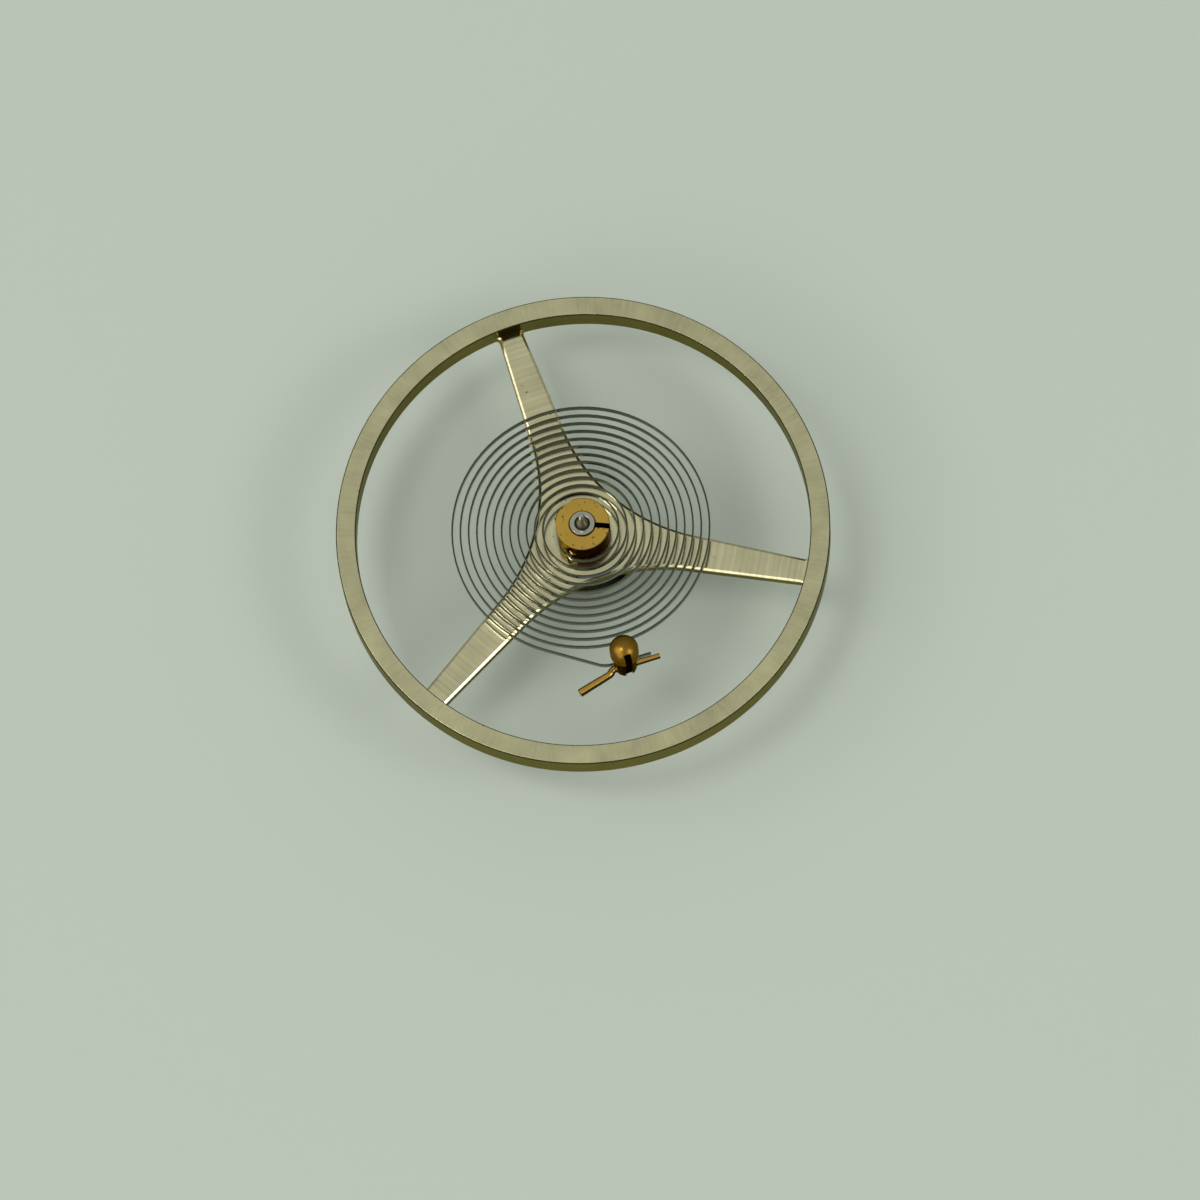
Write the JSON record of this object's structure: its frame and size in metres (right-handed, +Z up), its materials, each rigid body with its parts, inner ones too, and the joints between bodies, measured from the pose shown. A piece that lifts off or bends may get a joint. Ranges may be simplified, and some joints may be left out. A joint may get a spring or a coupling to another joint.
{
  "type": "balance wheel with hairspring",
  "caption": "Watch balance: a plain rim on tapered arms, with its staff, double roller, collet, flat hairspring and stud.",
  "frame": {"origin": "tip of the lower pivot, on the staff's axis", "axes": "+Z up the staff towards the upper pivot; +X to the right and +Y away in the picture"},
  "size_m": [0.01, 0.01, 0.0032],
  "materials": {
    "wheel_alloy": "lapped pale nickel alloy",
    "polished_steel": "hardened and polished steel",
    "ruby": "polished synthetic ruby",
    "collet_brass": "turned brass",
    "pin_brass": "drawn brass wire",
    "spring_alloy": "dark rolled spring alloy",
    "stud_brass": "turned and burnished brass"
  },
  "bodies": {
    "stud": {"stud": "stud_brass", "stud_pin": "pin_brass", "hairspring": "spring_alloy"},
    "balance": {"balance_wheel": "wheel_alloy", "balance_staff": "polished_steel", "double_roller": "polished_steel", "impulse_jewel": "ruby", "collet": "collet_brass", "collet_pin": "pin_brass"}
  },
  "joints": [
    {"name": "balance_swing", "type": "hinge", "parent": "stud", "child": "balance", "pos_m": [0, 0, 0], "axis": [0, 0, 1], "range_deg": [-300, 300], "stiffness_Nm_per_rad": 0.0000003, "deforming": ["hairspring"]}
  ]
}
